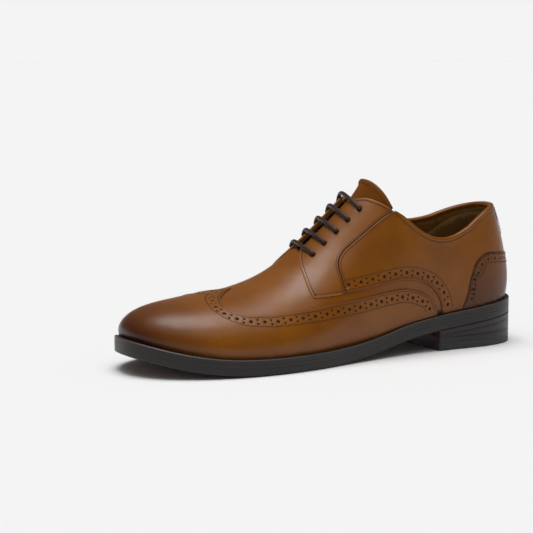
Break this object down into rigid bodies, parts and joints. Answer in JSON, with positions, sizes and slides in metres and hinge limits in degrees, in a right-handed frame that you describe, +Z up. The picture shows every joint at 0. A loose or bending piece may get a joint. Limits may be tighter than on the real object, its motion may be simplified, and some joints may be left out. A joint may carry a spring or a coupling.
{
  "type": "leather derby shoe",
  "caption": "Left leather derby dress shoe with wing-tip perforations, tucked-in waxed lace, hinged tongue, welted leather sole and stacked heel.",
  "frame": {"origin": "on the ground, under the middle of the sole's length and width", "axes": "+X towards the toe, +Y to the wearer's left, which is the outer side, +Z up"},
  "size_m": [0.3, 0.1054, 0.1184],
  "materials": {
    "upper_leather": "smooth calf leather, golden brown, soft shine",
    "burnished_leather": "smooth calf leather, burnished dark brown",
    "edge_leather": "rolled calf leather, a lighter brown",
    "lining_leather": "undyed lining leather, matt",
    "insole_leather": "vegetable-tanned leather, raw",
    "sole_leather": "dyed and waxed sole leather, satin",
    "heel_leather": "stacked sole leather, dyed and waxed, satin",
    "rubber": "satin",
    "stiffener": "resin-stiffened fabric, matt",
    "foam": "latex foam",
    "cork": "cork filler, matt",
    "steel": "spring steel",
    "brass": "plain brass",
    "waxed_cord": "round waxed cotton cord, dark brown, low shine",
    "aglet_plastic": "dark brown plastic tube"
  },
  "bodies": {
    "shoe": {"heel_top_piece": "rubber", "heel_nails": "brass", "heel_lift_1": "heel_leather", "heel_lift_2": "heel_leather", "heel_lift_3": "heel_leather", "outsole": "sole_leather", "midsole": "sole_leather", "welt": "sole_leather", "heel_rand": "sole_leather", "insole_rib": "insole_leather", "cork_filler": "cork", "shank": "steel", "insole": "insole_leather", "heel_pad": "foam", "sock_liner": "lining_leather", "wing_cap": "upper_leather", "vamp": "upper_leather", "lateral_quarter": "upper_leather", "medial_quarter": "upper_leather", "lateral_facing": "upper_leather", "medial_facing": "upper_leather", "counter_cover": "burnished_leather", "back_tab": "burnished_leather", "topline_binding": "edge_leather", "toe_puff": "stiffener", "heel_stiffener": "stiffener", "lateral_stay": "stiffener", "medial_stay": "stiffener", "vamp_lining": "lining_leather", "lateral_lining": "lining_leather", "medial_lining": "lining_leather", "heel_grip": "lining_leather", "lateral_eyelets": "brass", "medial_eyelets": "brass", "lace": "waxed_cord", "lace_tail_lateral": "waxed_cord", "lace_tail_medial": "waxed_cord", "aglet_lateral": "aglet_plastic", "aglet_medial": "aglet_plastic"},
    "tongue": {"tongue": "upper_leather", "tongue_lining": "lining_leather"}
  },
  "joints": [
    {"name": "tongue_hinge", "type": "hinge", "parent": "shoe", "child": "tongue", "pos_m": [0.0185, -0.0111, 0.062], "axis": [0, -1, 0], "range_deg": [0, 14], "stiffness_Nm_per_rad": 0.3}
  ]
}
